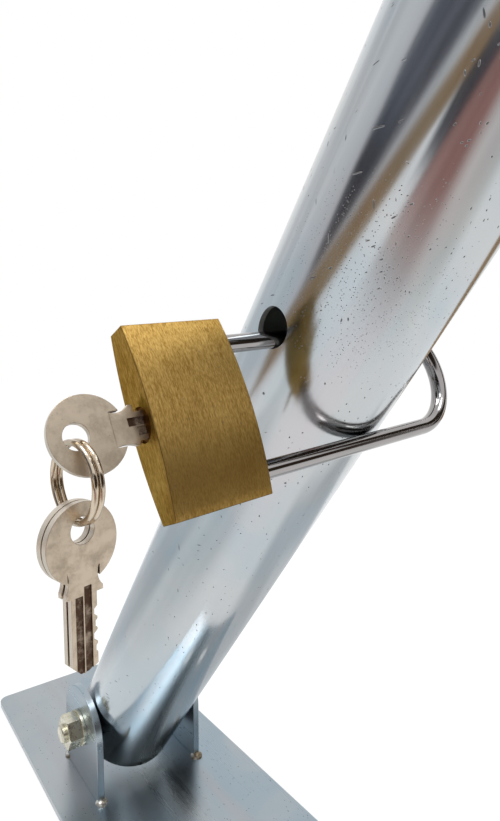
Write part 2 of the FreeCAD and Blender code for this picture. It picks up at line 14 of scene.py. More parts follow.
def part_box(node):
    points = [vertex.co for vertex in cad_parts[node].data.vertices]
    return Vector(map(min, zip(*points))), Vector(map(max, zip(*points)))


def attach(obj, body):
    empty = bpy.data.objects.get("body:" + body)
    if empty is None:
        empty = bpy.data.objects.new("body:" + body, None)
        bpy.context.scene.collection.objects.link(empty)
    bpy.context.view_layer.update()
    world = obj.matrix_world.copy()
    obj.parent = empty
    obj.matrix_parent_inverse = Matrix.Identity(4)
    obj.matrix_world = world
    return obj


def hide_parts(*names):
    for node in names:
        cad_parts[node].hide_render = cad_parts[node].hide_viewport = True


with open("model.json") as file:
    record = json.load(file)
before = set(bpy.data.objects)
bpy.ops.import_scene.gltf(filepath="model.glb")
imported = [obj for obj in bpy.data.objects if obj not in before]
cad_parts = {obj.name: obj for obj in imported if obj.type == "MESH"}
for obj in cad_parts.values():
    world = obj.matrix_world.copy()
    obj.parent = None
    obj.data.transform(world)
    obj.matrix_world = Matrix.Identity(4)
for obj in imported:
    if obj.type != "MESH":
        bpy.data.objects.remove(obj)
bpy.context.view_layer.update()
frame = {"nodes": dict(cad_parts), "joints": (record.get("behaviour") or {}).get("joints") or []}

bl_info = {
    "name": "Folding Parking Post",
    "version": (1, 0, 0),
    "blender": (4, 5, 0),
    "location": "View3D > Sidebar > Parking Post",
    "description": "Builds the visible pieces, finishes and stage of a folding parking post",
    "category": "Object",
}

JOINTS = {joint["name"]: joint for joint in frame["joints"]}
IMAGE_SIZE = (500, 821)
WHITE = (1.0, 1.0, 1.0, 1.0)
QUARTER = math.radians(90)
# Vertices nearer than this are merged
MERGE = 2e-6
# Angles between faces: counted as one face, broken by a bevel, and shaded as an edge
FLAT_EDGE = math.radians(0.5)
BROKEN_EDGE = math.radians(28)
HARD_EDGE = math.radians(35)
# Middle of the worn patch above the lock hole, in the tube's own frame, and where it thins out and ends
WORN_PATCH = (-0.0228, -0.0195, 0.3026)
WORN_REACH = (0.006, 0.042)
# Sparseness of the dark specks in the plating, and in the worn patch
SPECKS = 1.36
WORN_SPECKS = 0.72


def length(name, description, default):
    """Length property in metres."""
    return FloatProperty(name=name, description=description, default=default, unit="LENGTH", precision=5)


def colour(name, description, default):
    """Linear colour property."""
    return FloatVectorProperty(name=name, description=description, default=default, size=3,
                               subtype="COLOR", min=0.0, max=1.0)


def angle(name, description, degrees):
    """Angle property, its default given in degrees."""
    return FloatProperty(name=name, description=description, default=math.radians(degrees), subtype="ANGLE")


def pixels(name, description, default):
    """Property in picture pixels."""
    return FloatProperty(name=name, description=description, default=default, subtype="PIXEL")


def power(name, description, default):
    """Light power property in watts."""
    return FloatProperty(name=name, description=description, default=default, unit="POWER")


class PostSizes(bpy.types.PropertyGroup):
    """Sizes of the post and its padlock."""

    tube_diameter: length("Tube diameter", "Outside diameter of the post", 0.060)
    tube_wall: length("Tube wall", "Wall thickness of the post", 0.002)
    tube_tail: length("Tube tail", "How far the tube reaches below its pivot", 0.012)
    tube_length: length("Tube length", "How far the tube reaches above its pivot", 0.600)
    bolt_hole: length("Bolt hole", "Diameter of the cross hole for the pivot bolt", 0.0101)
    lock_hole: length("Lock hole", "Diameter of the cross hole for the padlock", 0.0135)
    lock_hole_up: length("Lock hole height", "Distance of the lock hole from the pivot", 0.2778)
    leg_diameter: length("Shackle bar", "Diameter of the shackle's bar", 0.0056)
    leg_span: length("Shackle span", "Distance between the shackle's legs", 0.0389)
    leg_straight: length("Shackle reach", "Straight length of the legs above the body", 0.0777)
    toe_depth: length("Toe depth", "How deep the toe leg sits in the body", 0.011)
    heel_depth: length("Heel depth", "How deep the heel leg sits in the body", 0.020)
    notch_low: length("Notch's low end", "Depth in the body of the latch notch's low end", 0.00875)
    notch_top: length("Notch's top end", "Depth in the body of the latch notch's top end", 0.00365)
    notch_bite: length("Notch bite", "How deep the latch notch goes into the toe leg", 0.00245)
    groove_low: length("Groove's low end", "Depth in the body of the heel groove's low end", 0.017)
    groove_top: length("Groove's top end", "Depth in the body of the heel groove's top end", 0.00375)
    groove_bite: length("Groove bite", "How deep the heel groove goes into the heel leg", 0.0014)
    ring_wire: length("Ring wire", "Radius of the split ring's wire", 0.00082)
    ring_pitch: length("Ring pitch", "Distance between the ring's two turns", 0.00175)
    bead: length("Weld bead", "Radius of a weld bead", 0.0046)


class FinishColours(bpy.types.PropertyGroup):
    """Colours of the finishes."""

    zinc: colour("Zinc", "Bright zinc plate of the tube", (0.52, 0.54, 0.55))
    zinc_cool: colour("Zinc, cool tint", "Bluish film on the tube", (0.45, 0.51, 0.545))
    zinc_warm: colour("Zinc, warm tint", "Pinkish film on the tube", (0.545, 0.50, 0.52))
    plate: colour("Plate zinc", "Duller zinc of the base plate and ears", (0.415, 0.45, 0.47))
    plate_cool: colour("Plate zinc, cool tint", "Bluish film on the base plate", (0.33, 0.405, 0.46))
    plate_warm: colour("Plate zinc, warm tint", "Greyish film on the base plate", (0.41, 0.41, 0.43))
    cut_edge: colour("Cut edge", "Bare steel of the drilled edges and the tube's inside", (0.70, 0.73, 0.70))
    pit: colour("Pits", "Dark specks in the plating", (0.030, 0.028, 0.026))
    weld: colour("Weld", "Bare weld metal", (0.62, 0.62, 0.59))
    weld_burn: colour("Weld burn", "Heat tint on the weld, and specks on the brass", (0.22, 0.18, 0.125))
    gold: colour("Yellow zinc", "Yellow passivated fasteners", (0.66, 0.64, 0.53))
    gold_dull: colour("Yellow zinc, dull", "Worn yellow passivation", (0.42, 0.38, 0.28))
    brass: colour("Brass", "Brushed brass of the lock body", (0.59, 0.385, 0.12))
    brass_dark: colour("Brass, tarnished", "Darker brass between the brush lines", (0.28, 0.155, 0.034))
    brass_edge: colour("Brass, edge tint", "Tint of the brass seen at a low angle", (0.62, 0.54, 0.36))
    # Colour of the cylinder's face: painted shade of its recess, with some tarnish
    brass_worn_and_shade: colour("Brass, worn", "Dirty brass of the cylinder's face", (0.20, 0.095, 0.040))
    # Dark brass for painted shade lines on broken edges, a darker key end, and the cylinder's painted recess
    # shade
    brass_black_and_shade: colour("Brass, blackened", "Dirt on the brass", (0.070, 0.034, 0.016))
    steel: colour("Shackle steel", "Polished shackle steel", (0.36, 0.345, 0.34))
    nickel: colour("Nickel", "Warm nickel of the keys and their ring", (0.62, 0.525, 0.41))
    nickel_dark: colour("Nickel, tarnished", "Dull film on the keys and their ring", (0.40, 0.325, 0.245))
    # Painted highlight on the keys' rims
    nickel_highlight: colour("Nickel, rubbed", "Bright rims of the keys", (0.70, 0.63, 0.54))
    # Painted shade in the keys' grooves and along their steps, with some grime
    grime_and_shade: colour("Grime", "Dirt in the keys' grooves and steps", (0.105, 0.062, 0.040))
    cap: colour("Cap", "Black plastic of the post's cap", (0.022, 0.022, 0.024))


class StageSettings(bpy.types.PropertyGroup):
    """Camera, lights and the cards that the metal mirrors."""

    camera_place: FloatVectorProperty(name="Camera place", description="Where the camera stands", size=3,
                                      default=(-0.1474, -0.2911, 0.2548), subtype="TRANSLATION", precision=4)
    camera_turn: angle("Camera turn", "Compass turn of the view from +Y to +X", 34.33)
    camera_tilt: angle("Camera tilt", "Angle of the view above the horizon", -5.90)
    camera_roll: angle("Camera roll", "Turn of the picture about its axis", -0.40)
    focal_pixels: pixels("Focal length", "Focal length in picture pixels", 546.7)
    axis_x: pixels("Axis column", "Picture column of the optical axis", 197.8)
    axis_y: pixels("Axis row", "Picture row of the optical axis", 414.3)
    top_power: power("Top light", "Power of the light overhead", 6.5)
    front_power: power("Front light", "Power of the light at the front", 3.0)
    sky: FloatProperty(name="Sky", description="Strength of the soft light from all round", default=1.06,
                       subtype="FACTOR", min=0.0, max=2.0)
    side_card: colour("Side card", "Card that dims the tube's left side", (0.78, 0.79, 0.81))
    dark_card: colour("Dark card", "Card that gives the tube its dark band", (0.13, 0.14, 0.17))
    navy_card: colour("Navy card", "Card that gives the tube its second dark band", (0.030, 0.032, 0.045))
    front_card: colour("Front card", "Card that darkens the metal's front", (0.045, 0.031, 0.021))
    brown_card: colour("Brown card", "Card that gives the tube its brown band", (0.34, 0.22, 0.115))
    pink_card: colour("Pink card", "Card that gives the tube its pink band", (0.40, 0.21, 0.185))
    warm_card: colour("Warm card", "Card that dims the tube beside its pink band", (0.76, 0.74, 0.71))
    low_card: colour("Low card", "Card that dims the tube's foot", (0.80, 0.83, 0.84))
    back_card: colour("Back card", "Card that dims the tube's left edge", (0.67, 0.72, 0.75))
    right_card: colour("Right card", "Card that dims the tube's right edge", (0.65, 0.68, 0.70))
    end_card: colour("End card", "Card that dims the lock body's end", (0.42, 0.37, 0.30))


def sizes():
    """Sizes that the scene holds."""
    return bpy.context.scene.post_sizes


def colours():
    """Finish colours that the scene holds."""
    return bpy.context.scene.post_colours


def settings():
    """Stage settings that the scene holds."""
    return bpy.context.scene.post_stage


# Frames of the moving groups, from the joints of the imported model

def joint_point(name):
    """Point that a joint turns about."""
    return Vector(JOINTS[name]["pos_m"])


def joint_axis(name):
    """Direction that a joint turns about or slides along."""
    return Vector(JOINTS[name]["axis"]).normalized()


def axes_matrix(origin, x_axis, y_axis):
    """Matrix with the given origin and axes."""
    z_axis = x_axis.cross(y_axis)
    turn = Matrix((x_axis, y_axis, z_axis)).transposed().to_4x4()
    return Matrix.Translation(origin) @ turn


def post_matrix():
    """Origin on the pivot, +Z up the tube; at the fold's lower limit the post is upright."""
    lean = math.radians(-JOINTS["post_fold"]["range_deg"][0])
    back = Vector((0, math.cos(lean), math.sin(lean)))
    return axes_matrix(joint_point("post_fold"), Vector((1, 0, 0)), back)


def lock_matrix():
    """Origin on the lock body's top, +X along the legs, +Y from the toe leg to the heel leg."""
    return axes_matrix(joint_point("key_turn"), joint_axis("key_turn"), joint_axis("latch_slide"))


def ring_matrix():
    """Origin at the ring's centre, +Y up, +Z along the ring's own axis."""
    top = joint_point("ring_swing")
    low = joint_point("spare_key_front_swing")
    return axes_matrix((top + low) / 2, joint_axis("ring_swing"), (top - low).normalized())


# Mesh helpers

def mesh_of(bm, name):
    """Mesh made from a bmesh, which is then freed."""
    mesh = bpy.data.meshes.new(name)
    bm.to_mesh(mesh)
    bm.free()
    return mesh


def linked(name, data):
    """New object in the scene."""
    made = bpy.data.objects.new(name, data)
    bpy.context.scene.collection.objects.link(made)
    return made


def finish_piece(bm, name, body, material, nodes):
    """Turns a bmesh into a piece that rides on a body and stands for CAD nodes."""
    mesh = mesh_of(bm, name)
    mesh.shade_smooth()
    mesh.set_sharp_from_angle(angle=HARD_EDGE)
    mesh.materials.append(material)
    piece = linked(name, mesh)
    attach(piece, body)
    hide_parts(*nodes)
    return piece


def extruded(bm, edges, move):
    """Extrudes a loop of edges and returns the new loop."""
    grown = bmesh.ops.extrude_edge_only(bm, edges=edges)["geom"]
    bmesh.ops.translate(bm, verts=[v for v in grown if isinstance(v, bmesh.types.BMVert)], vec=move)
    return [e for e in grown if isinstance(e, bmesh.types.BMEdge)]


def spun(bm, edges, centre, axis, sweep, steps, rise=0.0):
    """Spins a loop of edges about an axis, rising along it, and returns the last loop."""
    step = Vector(axis) * (rise / steps)
    made = bmesh.ops.spin(bm, geom=edges, cent=centre, axis=axis, dvec=step, angle=sweep, steps=steps)
    return [e for e in made["geom_last"] if isinstance(e, bmesh.types.BMEdge)]


def ring_loop(bm, radius, segments, matrix):
    """Loop of edges round a circle, always in the same order."""
    made = bmesh.ops.create_circle(bm, segments=segments, radius=radius, matrix=matrix)
    return list(dict.fromkeys(e for v in made["verts"] for e in v.link_edges))


def closed(bm):
    """Closes open ends, merges doubles and turns the faces outwards."""
    bmesh.ops.remove_doubles(bm, verts=bm.verts, dist=MERGE)
    bmesh.ops.holes_fill(bm, edges=[e for e in bm.edges if e.is_boundary])
    bmesh.ops.recalc_face_normals(bm, faces=bm.faces)


def even_faces(bm):
    """Splits faces with many corners into even triangles and drops faces without area."""
    bmesh.ops.triangulate(bm, faces=[f for f in bm.faces if len(f.verts) > 4], ngon_method="BEAUTY")
    bmesh.ops.dissolve_degenerate(bm, dist=MERGE, edges=bm.edges)


def cut_away(piece, bars):
    """Cuts bars out of a piece, removes them and returns the piece's new mesh."""
    for bar in bars:
        cut = piece.modifiers.new("cut", "BOOLEAN")
        cut.operation = "DIFFERENCE"
        cut.solver = "EXACT"
        cut.object = bar
    graph = bpy.context.evaluated_depsgraph_get()
    piece_mesh = bpy.data.meshes.new_from_object(piece.evaluated_get(graph))
    piece.modifiers.clear()
    bm = bmesh.new()
    bm.from_mesh(piece_mesh)
    even_faces(bm)
    bm.to_mesh(piece_mesh)
    bm.free()
    piece.data = piece_mesh
    for bar in bars:
        bpy.data.objects.remove(bar)
    return piece_mesh


def dressed(name, node, body, material, bevel=0.0, segments=2, marks=None):
    """Piece made from a node's own form, its sharp edges broken; marks give values to its faces."""
    bm = bmesh.new()
    bm.from_mesh(frame["nodes"][node].data)
    bmesh.ops.remove_doubles(bm, verts=bm.verts, dist=MERGE)
    if bevel > 0:
        bmesh.ops.dissolve_limit(bm, angle_limit=FLAT_EDGE, verts=bm.verts, edges=bm.edges)
        edges = [e for e in bm.edges if len(e.link_faces) == 2 and e.calc_face_angle() > BROKEN_EDGE]
        bmesh.ops.bevel(bm, geom=edges, offset=bevel, offset_type="OFFSET", segments=segments, profile=0.5,
                        affect="EDGES", clamp_overlap=True, material=-1)
        even_faces(bm)
        bmesh.ops.recalc_face_normals(bm, faces=bm.faces)
    for mark, amount in (marks or {}).items():
        layer = bm.faces.layers.float.new(mark)
        for face in bm.faces:
            face[layer] = amount(face)
    piece = finish_piece(bm, name, body, material, (node,))
    weighted = piece.modifiers.new("weighted_normals", "WEIGHTED_NORMAL")
    weighted.keep_sharp = True
    return piece


# Shader helpers and shared effects

class NodeSheet:
    """Short way to add and link the nodes of a material or group."""

    def __init__(self, tree):
        self.tree = tree

    def add(self, kind, options=None, **inputs):
        """Adds a node, sets its options and its inputs; a socket as a value is linked."""
        node = self.tree.nodes.new(kind)
        for key, value in (options or {}).items():
            setattr(node, key, value)
        for key, value in inputs.items():
            socket = node.inputs[int(key[1:])] if key[1:].isdigit() else node.inputs[key.replace("_", " ")]
            if isinstance(value, bpy.types.NodeSocket):
                self.tree.links.new(value, socket)
            else:
                socket.default_value = value
        return node

    def math(self, operation, first, second, clamp=False):
        """Math node; returns its value."""
        options = {"operation": operation, "use_clamp": clamp}
        return self.add("ShaderNodeMath", options, i0=first, i1=second).outputs[0]

    def plus(self, first, second):
        """Sum of two values."""
        return self.math("ADD", first, second)

    def times(self, first, second):
        """Product of two values."""
        return self.math("MULTIPLY", first, second)

    def most(self, first, second):
        """Larger of two values."""
        return self.math("MAXIMUM", first, second)

    def vector(self, operation, *values):
        """Vector math node; returns its outputs."""
        inputs = {"i%d" % place: value for place, value in enumerate(values)}
        return self.add("ShaderNodeVectorMath", {"operation": operation}, **inputs).outputs

    def mix(self, factor, first, second):
        """Mix of two colours, each a socket or plain red, green and blue; returns its colour."""
        pair = [c if isinstance(c, bpy.types.NodeSocket) else (*c, 1.0) for c in (first, second)]
        return self.add("ShaderNodeMix", {"data_type": "RGBA"}, i0=factor, i6=pair[0], i7=pair[1]).outputs[2]

    def ramp(self, value, low, high):
        """Value stretched from low..high to 0..1."""
        node = self.add("ShaderNodeMapRange", {"interpolation_type": "SMOOTHSTEP"}, i0=value, i1=low, i2=high)
        return node.outputs[0]

    def clouds(self, vector, scale, detail, **more):
        """Noise texture; returns its value."""
        node = self.add("ShaderNodeTexNoise", Vector=vector, Scale=scale, Detail=detail, **more)
        return node.outputs["Fac"]

    def group(self, tree, **inputs):
        """Places a shared effect; returns its outputs."""
        return self.add("ShaderNodeGroup", {"node_tree": tree}, **inputs).outputs

    def face_mark(self, name):
        """Value that a piece's mesh holds for each face."""
        return self.add("ShaderNodeAttribute", {"attribute_name": name}).outputs["Fac"]

    def seen(self):
        """Mask of the rays from the camera, from mirrors and through glass."""
        path = self.add("ShaderNodeLightPath").outputs
        return self.most(path["Is Camera Ray"], self.most(path["Is Glossy Ray"], path["Is Transmission Ray"]))

    def surface(self, kind, factor, first, second):
        """Mixes two shaders into an output node."""
        both = self.add("ShaderNodeMixShader", i0=factor, i1=first, i2=second)
        self.add(kind, Surface=both.outputs[0])


def effect(name, values, masks, make):
    """Shared shader group, made once: a vector and values go in, masks come out."""
    tree = bpy.data.node_groups.get(name)
    if tree:
        return tree
    tree = bpy.data.node_groups.new(name, "ShaderNodeTree")
    tree.interface.new_socket("Vector", in_out="INPUT", socket_type="NodeSocketVector")
    for label, default in values.items():
        socket = tree.interface.new_socket(label, in_out="INPUT", socket_type="NodeSocketFloat")
        socket.default_value = default
    for label in masks:
        tree.interface.new_socket(label, in_out="OUTPUT", socket_type="NodeSocketFloat")
    sheet = NodeSheet(tree)
    given = tree.nodes.new("NodeGroupInput").outputs
    result = tree.nodes.new("NodeGroupOutput").inputs
    for label, socket in make(sheet, given).items():
        tree.links.new(socket, result[label])
    return tree


def brush_lines():
    """Fine lines along one axis of the given coordinates, with a slower drift of tone."""
    def make(sheet, given):
        fine = sheet.clouds(given["Vector"], given["Scale"], 3.0, Roughness=0.6)
        broad = sheet.clouds(given["Vector"], sheet.times(given["Scale"], 0.13), 2.0)
        lines = sheet.ramp(fine, 0.34, 0.66)
        both = sheet.plus(sheet.times(lines, 0.7), sheet.times(broad, 0.3))
        return {"Lines": both, "Drift": sheet.ramp(broad, 0.35, 0.65)}
    return effect("Brush Lines", {"Scale": 100.0}, ("Lines", "Drift"), make)


def pits():
    """Small dark specks, thicker in some areas than in others."""
    def make(sheet, given):
        cells = sheet.add("ShaderNodeTexVoronoi", Vector=given["Vector"], Scale=given["Scale"],
                          Randomness=1.0).outputs
        area = sheet.clouds(given["Vector"], sheet.times(given["Scale"], 0.07), 2.0)
        shade = sheet.add("ShaderNodeSeparateColor", Color=cells["Color"]).outputs[0]
        chosen = sheet.math("GREATER_THAN", sheet.plus(shade, sheet.times(area, 0.6)), given["Sparse"])
        near = sheet.math("SUBTRACT", 1.0, sheet.ramp(cells["Distance"], 0.10, 0.26))
        return {"Mask": sheet.math("MULTIPLY", near, chosen, clamp=True)}
    return effect("Pits", {"Scale": 300.0, "Sparse": 1.1}, ("Mask",), make)


def ticked():
    """Short dark ticks, longer than wide, at a given turn."""
    def make(sheet, given):
        wobble = sheet.add("ShaderNodeTexNoise", Vector=given["Vector"], Scale=260.0, Detail=1.0)
        bent = sheet.vector("MULTIPLY_ADD", wobble.outputs["Color"], (0.0012, 0.0012, 0.0012),
                            given["Vector"])[0]
        turned = sheet.add("ShaderNodeVectorRotate", {"rotation_type": "X_AXIS"}, Vector=bent,
                           Angle=given["Turn"]).outputs[0]
        longer = sheet.vector("MULTIPLY", turned, (1.0, 1.0, 0.12))[0]
        moved = sheet.vector("ADD", longer, given["Seed"])[0]
        specks = sheet.group(pits(), Vector=moved, Scale=given["Scale"], Sparse=given["Sparse"])
        return {"Mask": specks["Mask"]}
    return effect("Ticks", {"Turn": 0.0, "Seed": 0.0, "Scale": 400.0, "Sparse": 1.2}, ("Mask",), make)


def scratches():
    """Short scattered scratches at mixed angles."""
    def make(sheet, given):
        wobble = sheet.add("ShaderNodeTexNoise", Vector=given["Vector"], Scale=given["Scale"], Detail=1.0)
        bent = sheet.add("ShaderNodeMix", {"data_type": "VECTOR"}, i0=0.02, i4=given["Vector"],
                         i5=wobble.outputs["Color"]).outputs[1]
        edges = sheet.add("ShaderNodeTexVoronoi", {"feature": "DISTANCE_TO_EDGE"}, Vector=bent,
                          Scale=given["Scale"], Randomness=1.0).outputs["Distance"]
        area = sheet.clouds(given["Vector"], sheet.times(given["Scale"], 2.3), 1.0)
        line = sheet.math("SUBTRACT", 1.0, sheet.ramp(edges, 0.0, given["Width"]))
        return {"Mask": sheet.math("MULTIPLY", line, sheet.ramp(area, given["Sparse"], 0.75), clamp=True)}
    return effect("Scratches", {"Scale": 60.0, "Width": 0.02, "Sparse": 0.6}, ("Mask",), make)


# Finishes

def new_material(name, **values):
    """Metal or plastic material; returns it with its sheet and its shader."""
    material = bpy.data.materials.new(name)
    material.use_nodes = True
    sheet = NodeSheet(material.node_tree)
    shader = material.node_tree.nodes["Principled BSDF"]
    for key, value in values.items():
        shader.inputs[key.replace("_", " ")].default_value = value
    return material, sheet, shader


def coordinates(sheet, matrix=None, stretch=(1, 1, 1)):
    """Object coordinates turned into a piece's own frame and stretched."""
    place = sheet.add("ShaderNodeTexCoord").outputs["Object"]
    if matrix is not None:
        inverse = matrix.inverted()
        place = sheet.add("ShaderNodeMapping", Vector=place, Location=inverse.to_translation(),
                          Rotation=inverse.to_euler()).outputs[0]
    return sheet.add("ShaderNodeMapping", Vector=place, Scale=stretch).outputs[0]


def coat(sheet, shader, tone, rough, height, strength, distance):
    """Links a finish's colour, roughness and relief to its shader."""
    bump = sheet.add("ShaderNodeBump", Strength=strength, Distance=distance, Height=height)
    for socket, label in ((tone, "Base Color"), (rough, "Roughness"), (bump.outputs["Normal"], "Normal")):
        sheet.tree.links.new(socket, shader.inputs[label])


def zinc_material(name, matrix, rough, tones, worn_at=None):
    """Zinc plate: film tints, drawn streaks along z, dark specks, ticks and bare cut edges."""
    c = colours()
    main, cool, warm = tones
    material, sheet, shader = new_material(name, Metallic=1.0)
    plain = coordinates(sheet, matrix)
    drawn = coordinates(sheet, matrix, (1.0, 1.0, 0.05))
    film = sheet.clouds(plain, 14.0, 3.0, Roughness=0.55, Distortion=0.6)
    stripe = sheet.clouds(drawn, 60.0, 2.0)
    tone = sheet.mix(sheet.ramp(film, 0.36, 0.62), cool, main)
    tone = sheet.mix(sheet.times(sheet.ramp(stripe, 0.50, 0.72), 0.55), tone, warm)
    streaks = sheet.group(brush_lines(), Vector=drawn, Scale=420.0)
    sparse = SPECKS
    if worn_at is not None:
        far = sheet.ramp(sheet.vector("DISTANCE", plain, worn_at)["Value"], *WORN_REACH)
        sparse = sheet.plus(WORN_SPECKS, sheet.times(far, SPECKS - WORN_SPECKS))
    specks = sheet.group(pits(), Vector=plain, Scale=1500.0, Sparse=sparse)["Mask"]
    spots = sheet.group(pits(), Vector=plain, Scale=420.0, Sparse=1.38)["Mask"]
    dark = sheet.most(specks, spots)
    for turn, seed in ((0.6, 0.0), (-0.9, 3.0)):
        ticks = sheet.group(ticked(), Vector=plain, Turn=turn, Seed=seed, Scale=900.0, Sparse=1.24)["Mask"]
        dark = sheet.most(dark, ticks)
    cut = sheet.face_mark("cut")
    tone = sheet.mix(sheet.times(dark, 0.72), tone, c.pit)
    tone = sheet.mix(cut, tone, c.cut_edge)
    worn = sheet.plus(sheet.times(streaks["Lines"], 0.05), rough)
    worn = sheet.plus(worn, sheet.times(streaks["Drift"], 0.05))
    worn = sheet.math("ADD", worn, sheet.times(sheet.most(dark, cut), 0.45), clamp=True)
    height = sheet.math("SUBTRACT", sheet.times(streaks["Lines"], 0.06), dark)
    coat(sheet, shader, tone, worn, height, 0.35, 0.0001)
    return material


def brass_material(name, matrix, main, dark):
    """Brass brushed along the body's width in short strokes, darker between them."""
    c = colours()
    material, sheet, shader = new_material(name, Metallic=1.0, Specular_Tint=(*c.brass_edge, 1.0))
    plain = coordinates(sheet, matrix)
    drawn_out = coordinates(sheet, matrix, (1.0, 0.07, 1.0))
    drawn_short = coordinates(sheet, matrix, (1.0, 0.25, 1.0))
    long_strokes = sheet.group(brush_lines(), Vector=drawn_out, Scale=2000.0)["Lines"]
    short_strokes = sheet.group(brush_lines(), Vector=drawn_short, Scale=2900.0)["Lines"]
    cloud = sheet.clouds(plain, 45.0, 4.0, Roughness=0.6)
    strokes = sheet.plus(sheet.times(long_strokes, 0.40), sheet.times(short_strokes, 0.60))
    mixed = sheet.plus(sheet.times(strokes, 0.82), sheet.times(sheet.ramp(cloud, 0.3, 0.7), 0.18))
    tone = sheet.mix(sheet.ramp(mixed, 0.05, 0.92), dark, main)
    # Marked faces darken: a painted shade line on the broken edges, and a darker key end
    tone = sheet.mix(sheet.face_mark("dirt_and_shade"), tone, c.brass_black_and_shade)
    specks = sheet.group(pits(), Vector=plain, Scale=700.0, Sparse=1.24)["Mask"]
    tone = sheet.mix(sheet.times(specks, 0.6), tone, c.weld_burn)
    rough = sheet.math("SUBTRACT", 0.50, sheet.times(strokes, 0.20))
    coat(sheet, shader, tone, rough, strokes, 0.6, 0.00006)
    return material


def plated_material(name, main, dull, rough, tarnish, matrix=None, stretch=(1, 1, 1)):
    """Smooth plated metal with a dull film in patches, small pits, handling scratches, painted shade with
    grime on marked faces and painted highlights on marked rims.
    """
    c = colours()
    material, sheet, shader = new_material(name, Metallic=1.0)
    plain = coordinates(sheet, matrix, stretch)
    cloud = sheet.clouds(plain, 260.0, 6.0, Roughness=0.72)
    specks = sheet.group(pits(), Vector=plain, Scale=900.0, Sparse=1.16)["Mask"]
    marks = sheet.group(scratches(), Vector=plain, Scale=190.0, Width=0.02, Sparse=0.55)["Mask"]
    film = sheet.times(sheet.ramp(cloud, 0.40, 0.72), tarnish)
    film = sheet.most(film, sheet.times(specks, tarnish))
    dirt_and_shade = sheet.face_mark("dirt_and_shade")
    tone = sheet.mix(film, main, dull)
    # Painted highlight on the keys' marked rims
    tone = sheet.mix(sheet.face_mark("rim_highlight"), tone, c.nickel_highlight)
    # Painted shade with some grime in the keys' marked grooves and steps
    tone = sheet.mix(sheet.times(dirt_and_shade, sheet.ramp(cloud, 0.2, 0.55)), tone, c.grime_and_shade)
    worn = sheet.times(sheet.most(film, sheet.most(marks, dirt_and_shade)), 0.22)
    worn = sheet.math("ADD", rough, worn, clamp=True)
    height = sheet.math("SUBTRACT", sheet.times(cloud, 0.25), marks)
    coat(sheet, shader, tone, worn, height, 0.25, 0.00004)
    return material


def weld_material(name):
    """Weld metal, bright in places and burnt in others."""
    c = colours()
    material, sheet, shader = new_material(name, Metallic=1.0)
    cloud = sheet.clouds(coordinates(sheet), 220.0, 4.0)
    tone = sheet.mix(sheet.ramp(cloud, 0.40, 0.62), c.weld, c.weld_burn)
    rough = sheet.plus(0.22, sheet.times(cloud, 0.4))
    coat(sheet, shader, tone, rough, cloud, 0.5, 0.0003)
    return material


def plastic_material(name):
    """Moulded black plastic with a fine grain."""
    c = colours()
    material, sheet, shader = new_material(name)
    grain = sheet.clouds(coordinates(sheet), 1400.0, 3.0)
    paler = [v * 1.8 for v in c.cap]
    rough = sheet.plus(0.40, sheet.times(grain, 0.2))
    coat(sheet, shader, sheet.mix(grain, c.cap, paler), rough, grain, 0.3, 0.0001)
    return material


def finish(name):
    """Material by its plain name, made on first use."""
    made = bpy.data.materials.get(name)
    if made:
        return made
    c = colours()
    if name == "tube_zinc":
        return zinc_material(name, post_matrix(), 0.095, (c.zinc, c.zinc_cool, c.zinc_warm), WORN_PATCH)
    if name == "plate_zinc":
        along_plate = Matrix.Rotation(QUARTER, 4, "X")
        return zinc_material(name, along_plate, 0.25, (c.plate, c.plate_cool, c.plate_warm))
    if name == "brushed_brass":
        return brass_material(name, lock_matrix(), c.brass, c.brass_dark)
    # The cylinder's face: painted shade of its recess, with some tarnish
    if name == "shaded_dirty_brass":
        return brass_material(name, lock_matrix(), c.brass_worn_and_shade, c.brass_black_and_shade)
    if name == "polished_steel":
        return plated_material(name, c.steel, c.pit, 0.09, 0.12, lock_matrix(), (0.08, 1, 1))
    if name == "worn_nickel":
        return plated_material(name, c.nickel, c.nickel_dark, 0.40, 0.60)
    if name == "ring_nickel":
        return plated_material(name, c.nickel, c.nickel_dark, 0.12, 0.30)
    if name == "yellow_plating":
        return plated_material(name, c.gold, c.gold_dull, 0.24, 0.8)
    if name == "weld_metal":
        return weld_material(name)
    if name == "moulded_plastic":
        return plastic_material(name)
    raise ValueError("no finish named " + name)


def paint(node, name):
    """Gives a CAD node a finish."""
    slots = frame["nodes"][node].data.materials
    slots.clear()
    slots.append(finish(name))


# Pieces

class PieceOperator:
    """What the piece operators share."""

    bl_options = {"REGISTER", "UNDO"}

    def execute(self, context):
        self.make()
        return {"FINISHED"}


